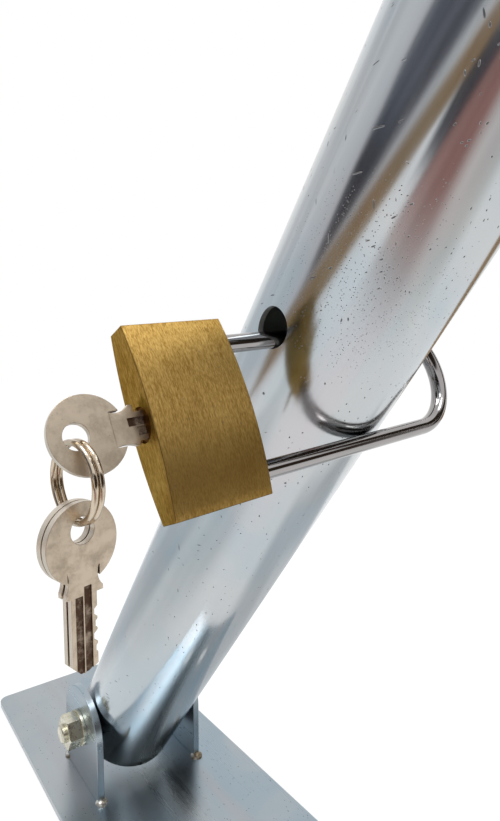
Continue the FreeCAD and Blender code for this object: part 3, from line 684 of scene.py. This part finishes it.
class POST_OT_tube(PieceOperator, bpy.types.Operator):
    """Round post with cross holes for the pivot bolt and the padlock"""

    bl_idname = "parking_post.tube"
    bl_label = "Post Tube"
    segments = 192
    rows = 64
    hole_segments = 72
    # Length of the bars that cut the holes, in tube diameters
    bar_reach = 1.5
    # How nearly radial the normals of the round walls are
    wall_lean = 0.9

    def wall(self, bm, radius, matrix, bottom, top):
        """One wall of the tube in even rows; returns its end loops."""
        loop = ring_loop(bm, radius, self.segments, matrix @ Matrix.Translation((0, 0, bottom)))
        first = loop
        step = matrix.to_3x3() @ Vector((0, 0, (top - bottom) / self.rows))
        for _ in range(self.rows):
            loop = extruded(bm, loop, step)
        return first, loop

    def cutter(self, radius, up, matrix):
        """Long bar across the tube that cuts a pair of holes."""
        reach = sizes().tube_diameter * self.bar_reach
        turned = matrix @ Matrix.Translation((0, 0, up)) @ Matrix.Rotation(QUARTER, 4, "Y")
        bm = bmesh.new()
        bmesh.ops.create_cone(bm, cap_ends=True, segments=self.hole_segments, radius1=radius, radius2=radius,
                              depth=reach, matrix=turned)
        return linked("bar", mesh_of(bm, "bar"))

    def make(self):
        s = sizes()
        matrix = post_matrix()
        outer = s.tube_diameter / 2
        inner = outer - s.tube_wall
        bm = bmesh.new()
        inner_ends = self.wall(bm, inner, matrix, -s.tube_tail, s.tube_length)
        bmesh.ops.reverse_faces(bm, faces=bm.faces[:])
        outer_ends = self.wall(bm, outer, matrix, -s.tube_tail, s.tube_length)
        for pair in zip(outer_ends, inner_ends):
            bmesh.ops.bridge_loops(bm, edges=pair[0] + pair[1])
        bmesh.ops.recalc_face_normals(bm, faces=bm.faces)
        piece = finish_piece(bm, "tube", "post", finish("tube_zinc"), ("post_tube",))
        bars = [self.cutter(s.bolt_hole / 2, 0.0, matrix),
                self.cutter(s.lock_hole / 2, s.lock_hole_up, matrix)]
        self.true_normals(cut_away(piece, bars), matrix)

    def true_normals(self, mesh, matrix):
        """Gives the round walls the normals of a true cylinder, and marks the bare edges and inside."""
        inverse = matrix.inverted()
        turn = matrix.to_3x3()
        normals = []
        cut = mesh.attributes.new("cut", "FLOAT", "FACE").data
        for face in mesh.polygons:
            face.use_smooth = True
            facing = inverse.to_3x3() @ face.normal
            out = inverse @ face.center
            radial = Vector((out.x, out.y, 0)).normalized()
            lean = facing.dot(radial)
            cut[face.index].value = float(lean < self.wall_lean)
            for index in face.loop_indices:
                local = inverse @ mesh.vertices[mesh.loops[index].vertex_index].co
                own = Vector((local.x, local.y, 0)).normalized()
                if lean > self.wall_lean:
                    normals.append(turn @ own)
                elif lean < -self.wall_lean:
                    normals.append(turn @ -own)
                else:
                    normals.append(face.normal.copy())
        mesh.normals_split_custom_set(normals)


class POST_OT_base(PieceOperator, bpy.types.Operator):
    """Base plate and the two ears with broken edges"""

    bl_idname = "parking_post.base"
    bl_label = "Base Plate and Ears"
    edge = 0.0004

    def make(self):
        for node in ("base_plate", "left_ear", "right_ear"):
            dressed(node + "_piece", node, "base", finish("plate_zinc"), self.edge, 3)


class POST_OT_welds(PieceOperator, bpy.types.Operator):
    """Lumpy weld beads at the ears' feet"""

    bl_idname = "parking_post.welds"
    bl_label = "Weld Beads"
    # Share of the bead's radius without its lumps, and the lumps' fineness and height
    core = 0.78
    lumps = ((420.0, 0.15), (1100.0, 0.06))
    squash = (1.0, 0.95, 0.72)
    # How far the beads reach into the plate
    sink = 0.0002

    def make(self):
        bm = bmesh.new()
        for ear in ("left_ear", "right_ear"):
            low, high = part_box(ear)
            for end in (low.y, high.y):
                self.bead(bm, Vector(((low.x + high.x) / 2, end, low.z)))
        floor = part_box("base_plate")[1].z - self.sink
        bmesh.ops.bisect_plane(bm, geom=bm.verts[:] + bm.edges[:] + bm.faces[:], plane_co=(0, 0, floor),
                               plane_no=(0, 0, 1), clear_inner=True)
        closed(bm)
        finish_piece(bm, "weld_beads", "base", finish("weld_metal"), ("ear_welds",))

    def bead(self, bm, foot):
        """Flattened ball with lumps at the foot of an ear."""
        made = bmesh.ops.create_icosphere(bm, subdivisions=4, radius=sizes().bead * self.core,
                                          matrix=Matrix.Translation(foot))["verts"]
        for vert in made:
            lump = sum(noise.noise(vert.co * fineness) * height for fineness, height in self.lumps)
            vert.co = foot + (vert.co - foot) * (1.0 + lump)
        bmesh.ops.scale(bm, verts=made, vec=self.squash, space=Matrix.Translation(-foot))


class POST_OT_pivot(PieceOperator, bpy.types.Operator):
    """Pivot bolt, nut and washers"""

    bl_idname = "parking_post.pivot"
    bl_label = "Pivot Bolt"
    edge = 0.00025

    def make(self):
        for node in ("pivot_bolt", "pivot_nut", "pivot_washers"):
            dressed(node + "_piece", node, "base", finish("yellow_plating"), self.edge)


class POST_OT_cap(PieceOperator, bpy.types.Operator):
    """Plastic cap in the post's top"""

    bl_idname = "parking_post.cap"
    bl_label = "Post Cap"
    edge = 0.0006

    def make(self):
        dressed("cap", "post_cap", "post", finish("moulded_plastic"), self.edge, 3)


class POST_OT_lock(PieceOperator, bpy.types.Operator):
    """Brass lock body, its plugs and its cylinder"""

    bl_idname = "parking_post.lock"
    bl_label = "Lock Body"
    # A broken edge's normal has two parts of this size, and the key end's has less than key_end along x
    slant = (0.5, 0.85)
    key_end = -0.9
    # Amounts of painted shade on the broken edges and of darkening on the key end
    edge_shade = 0.6
    end_darkening = 0.18

    def make(self):
        inverse = lock_matrix().to_3x3().inverted()

        def dirt_and_shade(face):
            """Painted shade: a dark line along the body's broken edges; also a darker key end."""
            facing = inverse @ face.normal
            if sum(self.slant[0] < abs(part) < self.slant[1] for part in facing) == 2:
                return self.edge_shade
            return self.end_darkening if facing.x < self.key_end else 0.0
        dressed("lock_body", "padlock_body", "padlock", finish("brushed_brass"),
                marks={"dirt_and_shade": dirt_and_shade})
        # Dark brass on the cylinder's face: painted shade of its recess, with some tarnish
        paint("lock_cylinder", "shaded_dirty_brass")
        for node in ("chamber_plugs", "key_pins", "driver_pins"):
            paint(node, "brushed_brass")
        for node in ("heel_pin", "cylinder_pin", "latch_bolt", "latch_spring", "shackle_spring",
                     "pin_springs"):
            paint(node, "polished_steel")


class POST_OT_shackle(PieceOperator, bpy.types.Operator):
    """Long polished shackle with its latch notch and heel groove"""

    bl_idname = "parking_post.shackle"
    bl_label = "Shackle"
    segments = 56
    bow_steps = 72

    def cutter(self, low, top, near, far):
        """Block across a leg, from low to top along it and from near to far across the body."""
        size = (top - low, far - near, sizes().leg_diameter * 2)
        place = Matrix.LocRotScale(Vector(((low + top) / 2, (near + far) / 2, 0)), None, Vector(size))
        bm = bmesh.new()
        bmesh.ops.create_cube(bm, size=1.0, matrix=lock_matrix() @ place)
        return linked("bar", mesh_of(bm, "bar"))

    def make(self):
        s = sizes()
        half = s.leg_span / 2
        bm = bmesh.new()
        start = Matrix.Translation((-s.toe_depth, -half, 0)) @ Matrix.Rotation(QUARTER, 4, "Y")
        loop = ring_loop(bm, s.leg_diameter / 2, self.segments, start)
        loop = extruded(bm, loop, Vector((s.toe_depth + s.leg_straight, 0, 0)))
        loop = spun(bm, loop, (s.leg_straight, 0, 0), (0, 0, 1), math.pi, self.bow_steps)
        extruded(bm, loop, Vector((-s.heel_depth - s.leg_straight, 0, 0)))
        closed(bm)
        bmesh.ops.transform(bm, matrix=lock_matrix(), verts=bm.verts)
        piece = finish_piece(bm, "shackle", "padlock", finish("polished_steel"),
                             ("padlock_shackle",))
        inner = half - s.leg_diameter / 2
        mesh = cut_away(piece, [self.cutter(-s.notch_low, -s.notch_top, -inner - s.notch_bite, 0.0),
                                self.cutter(-s.groove_low, -s.groove_top, 0.0, inner + s.groove_bite)])
        mesh.set_sharp_from_angle(angle=HARD_EDGE)


class POST_OT_keys(PieceOperator, bpy.types.Operator):
    """Key in the lock and the two spare keys"""

    bl_idname = "parking_post.keys"
    bl_label = "Keys"
    edge = 0.00014
    # Distances from a key's middle plane, as shares of half its thickness
    groove = (0.22, 0.68)
    step = (0.82, 0.94)
    # Amount of painted shade with some grime along a head's step
    step_shade_and_dirt = 0.6
    # How little a rim's normal leans to the key's face
    rim_lean = 0.5

    def marks(self, node, axis):
        """Painted shade with some grime in a key's grooves and along its head's step, and a painted highlight
        on the rim round it.
        """
        depths = [axis.dot(vert.co) for vert in frame["nodes"][node].data.vertices]
        middle = (min(depths) + max(depths)) / 2
        half = (max(depths) - min(depths)) / 2

        def depth(face):
            return abs(axis.dot(face.calc_center_median()) - middle) / half

        def dirt_and_shade(face):
            if self.groove[0] < depth(face) < self.groove[1]:
                return 1.0
            return self.step_shade_and_dirt if self.step[0] < depth(face) < self.step[1] else 0.0

        # Painted highlight on the rim round the key
        def rim_highlight(face):
            return float(depth(face) < self.groove[0] and abs(face.normal.dot(axis)) < self.rim_lean)
        return {"dirt_and_shade": dirt_and_shade, "rim_highlight": rim_highlight}

    def make(self):
        face_axis = lock_matrix().to_3x3() @ Vector((0, 0, 1))
        for node, body, axis in (("inserted_key", "cylinder", face_axis),
                                 ("spare_key_front", "spare_front", joint_axis("spare_key_front_swing")),
                                 ("spare_key_rear", "spare_rear", joint_axis("spare_key_rear_swing"))):
            dressed(node + "_piece", node, body, finish("worn_nickel"), self.edge,
                    marks=self.marks(node, axis))


class POST_OT_ring(PieceOperator, bpy.types.Operator):
    """Split ring of two turns of wire"""

    bl_idname = "parking_post.ring"
    bl_label = "Split Ring"
    segments = 28
    steps_per_turn = 120
    steps_across = 16
    step_at = math.radians(120)
    step_angle = math.radians(30)

    def make(self):
        s = sizes()
        radius = (joint_point("ring_swing") - joint_point("spare_key_front_swing")).length / 2
        axis = (0, 0, 1)
        bm = bmesh.new()
        upright = Matrix.Rotation(QUARTER, 4, "X")
        begin = Matrix.Rotation(self.step_at + self.step_angle, 4, "Z")
        begin = begin @ Matrix.Translation((radius, 0, -s.ring_pitch / 2)) @ upright
        loop = ring_loop(bm, s.ring_wire, self.segments, begin)
        turn = 2 * math.pi - self.step_angle
        loop = spun(bm, loop, (0, 0, 0), axis, turn, self.steps_per_turn)
        loop = spun(bm, loop, (0, 0, 0), axis, self.step_angle, self.steps_across, s.ring_pitch)
        spun(bm, loop, (0, 0, 0), axis, turn, self.steps_per_turn)
        closed(bm)
        bmesh.ops.transform(bm, matrix=ring_matrix(), verts=bm.verts)
        finish_piece(bm, "ring", "ring", finish("ring_nickel"), ("split_ring",))


# Stage

def stage_sheet(owner):
    """Empty sheet of a stage material or of the world."""
    owner.use_nodes = True
    owner.node_tree.nodes.clear()
    return NodeSheet(owner.node_tree)


def standing(low, high):
    """Corners of an upright card between two opposite corners."""
    return low, (high[0], high[1], low[2]), high, (low[0], low[1], high[2])


def beside(x, *corners):
    """Corners of an upright card at one side, each given by y and z."""
    return [(x, y, z) for y, z in corners]


def lying(z, *corners):
    """Corners of a card on the floor, each given by x and y."""
    return [(x, y, z) for x, y in corners]


class POST_OT_stage(PieceOperator, bpy.types.Operator):
    """Pale floor, white surroundings, soft lights and the camera"""

    bl_idname = "parking_post.stage"
    bl_label = "Stage"
    aim = Vector((0, -0.15, 0.2))
    floor_half = 6.0
    floor_drop = 0.0002
    floor_white = 0.78
    floor_tone = (0.97, 0.97, 0.97, 1.0)
    sky_tone = (0.98, 0.99, 1.0, 1.0)

    def floor(self):
        """Floor that keeps the shadow, and is nearly white to the camera and to mirrors."""
        bm = bmesh.new()
        bmesh.ops.create_grid(bm, x_segments=1, y_segments=1, size=self.floor_half)
        mesh = mesh_of(bm, "floor")
        material = bpy.data.materials.new("pale_floor")
        sheet = stage_sheet(material)
        pale = sheet.add("ShaderNodeBsdfDiffuse", Color=self.floor_tone).outputs[0]
        white = sheet.add("ShaderNodeEmission", Color=WHITE, Strength=1.0).outputs[0]
        sheet.surface("ShaderNodeOutputMaterial", sheet.times(sheet.seen(), self.floor_white), pale, white)
        mesh.materials.append(material)
        floor = linked("floor", mesh)
        floor.location.z = -self.floor_drop

    def world(self):
        """Soft light from all round that is white to the camera and to mirrors."""
        world = bpy.data.worlds.new("studio")
        sheet = stage_sheet(world)
        soft = sheet.add("ShaderNodeBackground", Color=self.sky_tone, Strength=settings().sky).outputs[0]
        white = sheet.add("ShaderNodeBackground", Color=WHITE, Strength=1.0).outputs[0]
        sheet.surface("ShaderNodeOutputWorld", sheet.seen(), soft, white)
        bpy.context.scene.world = world

    def lamp(self, name, place, size, watts):
        """Square light turned to the post."""
        light = bpy.data.lights.new(name, "AREA")
        light.energy = watts
        light.size = size
        lamp = linked(name, light)
        lamp.location = place
        lamp.rotation_euler = (self.aim - Vector(place)).to_track_quat("-Z", "Y").to_euler()

    def card_material(self, name, rgb, soft, streaks):
        """Glow that fades towards the card's edges; streaks are two scales and a share of the tone."""
        material = bpy.data.materials.new(name)
        sheet = stage_sheet(material)
        place = sheet.add("ShaderNodeTexCoord").outputs["UV"]
        fade = 1.0
        for side in sheet.add("ShaderNodeSeparateXYZ", i0=place).outputs[:2]:
            for edge in (side, sheet.math("SUBTRACT", 1.0, side)):
                fade = sheet.times(sheet.ramp(edge, 0.0, soft), fade)
        across, along, share = streaks
        stretched = sheet.add("ShaderNodeMapping", Vector=place, Scale=(across, along, 1.0)).outputs[0]
        drift = sheet.ramp(sheet.clouds(stretched, 1.0, 3.0, Roughness=0.6), 0.3, 0.7)
        tone = sheet.mix(drift, [v * (1 - share) for v in rgb], [v * (1 + share) for v in rgb])
        glow = sheet.add("ShaderNodeEmission", Color=tone, Strength=1.0).outputs[0]
        clear = sheet.add("ShaderNodeBsdfTransparent").outputs[0]
        sheet.surface("ShaderNodeOutputMaterial", fade, clear, glow)
        return material

    def card(self, name, corners, material):
        """Flat card that only mirrors see."""
        bm = bmesh.new()
        face = bmesh.ops.contextual_create(bm, geom=[bm.verts.new(corner) for corner in corners])["faces"][0]
        layer = bm.loops.layers.uv.new("card")
        for loop, place in zip(face.loops, ((0, 0), (1, 0), (1, 1), (0, 1))):
            loop[layer].uv = place
        mesh = mesh_of(bm, name)
        mesh.materials.append(material)
        card = linked(name, mesh)
        card.visible_camera = False
        card.visible_diffuse = False
        card.visible_shadow = False
        card.visible_transmission = False

    def cards(self):
        """Cards round the stage that give the polished metal something to mirror."""
        stage = settings()
        plain = (2.0, 2.0, 0.12)
        for name, rgb, soft, streaks, corners in (
                ("left_grey", stage.side_card, 0.10, plain, standing((-1.3, -1.6, -0.10), (-1.3, 5.0, 3.6))),
                ("back_grey", stage.side_card, 0.10, plain, standing((-1.3, 2.6, -0.10), (0.3, 2.6, 3.6))),
                ("left_dark", stage.dark_card, 0.10, (1.2, 14.0, 0.90),
                 beside(-1.0, (-1.1, 0.31), (0.42, 0.23), (0.36, 0.80), (-1.1, 0.95))),
                ("left_black", stage.navy_card, 0.30, (1.0, 6.0, 0.5),
                 beside(-0.98, (-0.20, 0.27), (0.44, 0.21), (0.40, 0.70), (0.16, 0.62))),
                ("left_brown", stage.brown_card, 0.12, (1.0, 3.0, 0.25),
                 beside(-1.0, (-1.0, 0.03), (0.7, -0.03), (0.7, 0.28), (-1.0, 0.20))),
                ("right_brown", stage.brown_card, 0.15, plain, standing((1.2, -0.6, 0.0), (1.2, 0.6, 0.22))),
                ("front_low", stage.front_card, 0.22, plain,
                 standing((-0.9, -0.95, 0.02), (1.3, -0.95, 0.70))),
                ("front_right", stage.front_card, 0.15, plain,
                 standing((0.80, -0.95, 0.02), (2.2, -0.95, 1.90))),
                ("floor_low", stage.low_card, 0.20, plain,
                 lying(0.002, (-0.55, -0.20), (-0.07, -0.20), (-0.07, 0.35), (-0.55, 0.35))),
                ("floor_back", stage.back_card, 0.12, plain,
                 lying(0.0025, (-0.50, 0.08), (0.12, 0.08), (0.20, 1.20), (-0.60, 1.20))),
                ("floor_right", stage.right_card, 0.15, plain,
                 lying(0.002, (0.02, -0.26), (0.34, -0.26), (0.34, 0.22), (0.02, 0.22))),
                ("floor_end", stage.end_card, 0.25, plain,
                 lying(0.002, (-1.10, 0.45), (-0.48, 0.45), (-0.48, 1.30), (-1.10, 1.30))),
                ("floor_warm", stage.warm_card, 0.20, plain,
                 lying(0.003, (-0.50, -0.30), (0.25, -0.34), (0.10, -1.10), (-0.60, -1.10))),
                ("floor_navy", stage.navy_card, 0.16, (6.0, 1.0, 0.6),
                 lying(0.004, (-0.78, -0.48), (-0.43, -0.50), (-0.59, -1.20), (-1.95, -1.20))),
                ("floor_pink", stage.pink_card, 0.25, (4.0, 1.0, 0.25),
                 lying(0.006, (-0.52, -0.34), (0.06, -0.36), (-0.50, -1.20), (-0.82, -1.20)))):
            self.card(name, corners, self.card_material(name, rgb, soft, streaks))

    def camera(self):
        """Camera whose optical axis stands off the picture's middle."""
        stage = settings()
        data = bpy.data.cameras.new("camera")
        long_side = max(IMAGE_SIZE)
        data.lens = data.sensor_width * stage.focal_pixels / long_side
        data.shift_x = (IMAGE_SIZE[0] / 2 - stage.axis_x) / long_side
        data.shift_y = (stage.axis_y - IMAGE_SIZE[1] / 2) / long_side
        data.clip_start = 0.01
        camera = linked("camera", data)
        turn = (Matrix.Rotation(-stage.camera_turn, 4, "Z")
                @ Matrix.Rotation(QUARTER + stage.camera_tilt, 4, "X")
                @ Matrix.Rotation(stage.camera_roll, 4, "Z"))
        camera.matrix_world = Matrix.Translation(stage.camera_place) @ turn
        bpy.context.scene.camera = camera

    def make(self):
        stage = settings()
        self.floor()
        self.world()
        self.lamp("top", (-0.31, -0.12, 1.4), 0.60, stage.top_power)
        self.lamp("front", (0.36, -0.72, 1.28), 0.35, stage.front_power)
        self.cards()
        self.camera()
        bpy.context.scene.view_settings.view_transform = "Standard"


OPERATORS = (POST_OT_base, POST_OT_welds, POST_OT_pivot, POST_OT_tube, POST_OT_cap, POST_OT_lock,
             POST_OT_shackle, POST_OT_keys, POST_OT_ring, POST_OT_stage)


class POST_PT_panel(bpy.types.Panel):
    """Lists the post's pieces and settings"""

    bl_label = "Parking Post"
    bl_idname = "POST_PT_panel"
    bl_space_type = "VIEW_3D"
    bl_region_type = "UI"
    bl_category = "Parking Post"

    def draw(self, context):
        column = self.layout.column(align=True)
        for operator in OPERATORS:
            column.operator(operator.bl_idname)
        for group in (context.scene.post_sizes, context.scene.post_colours, context.scene.post_stage):
            box = self.layout.box()
            for key in group.__annotations__:
                box.prop(group, key)


CLASSES = (PostSizes, FinishColours, StageSettings) + OPERATORS + (POST_PT_panel,)


def register():
    for item in CLASSES:
        bpy.utils.register_class(item)
    bpy.types.Scene.post_sizes = PointerProperty(type=PostSizes)
    bpy.types.Scene.post_colours = PointerProperty(type=FinishColours)
    bpy.types.Scene.post_stage = PointerProperty(type=StageSettings)


def unregister():
    del bpy.types.Scene.post_stage
    del bpy.types.Scene.post_colours
    del bpy.types.Scene.post_sizes
    for item in reversed(CLASSES):
        bpy.utils.unregister_class(item)


def main():
    register()
    for operator in OPERATORS:
        getattr(bpy.ops.parking_post, operator.bl_idname.split(".")[1])()
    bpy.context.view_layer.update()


if __name__ == "__main__":
    main()
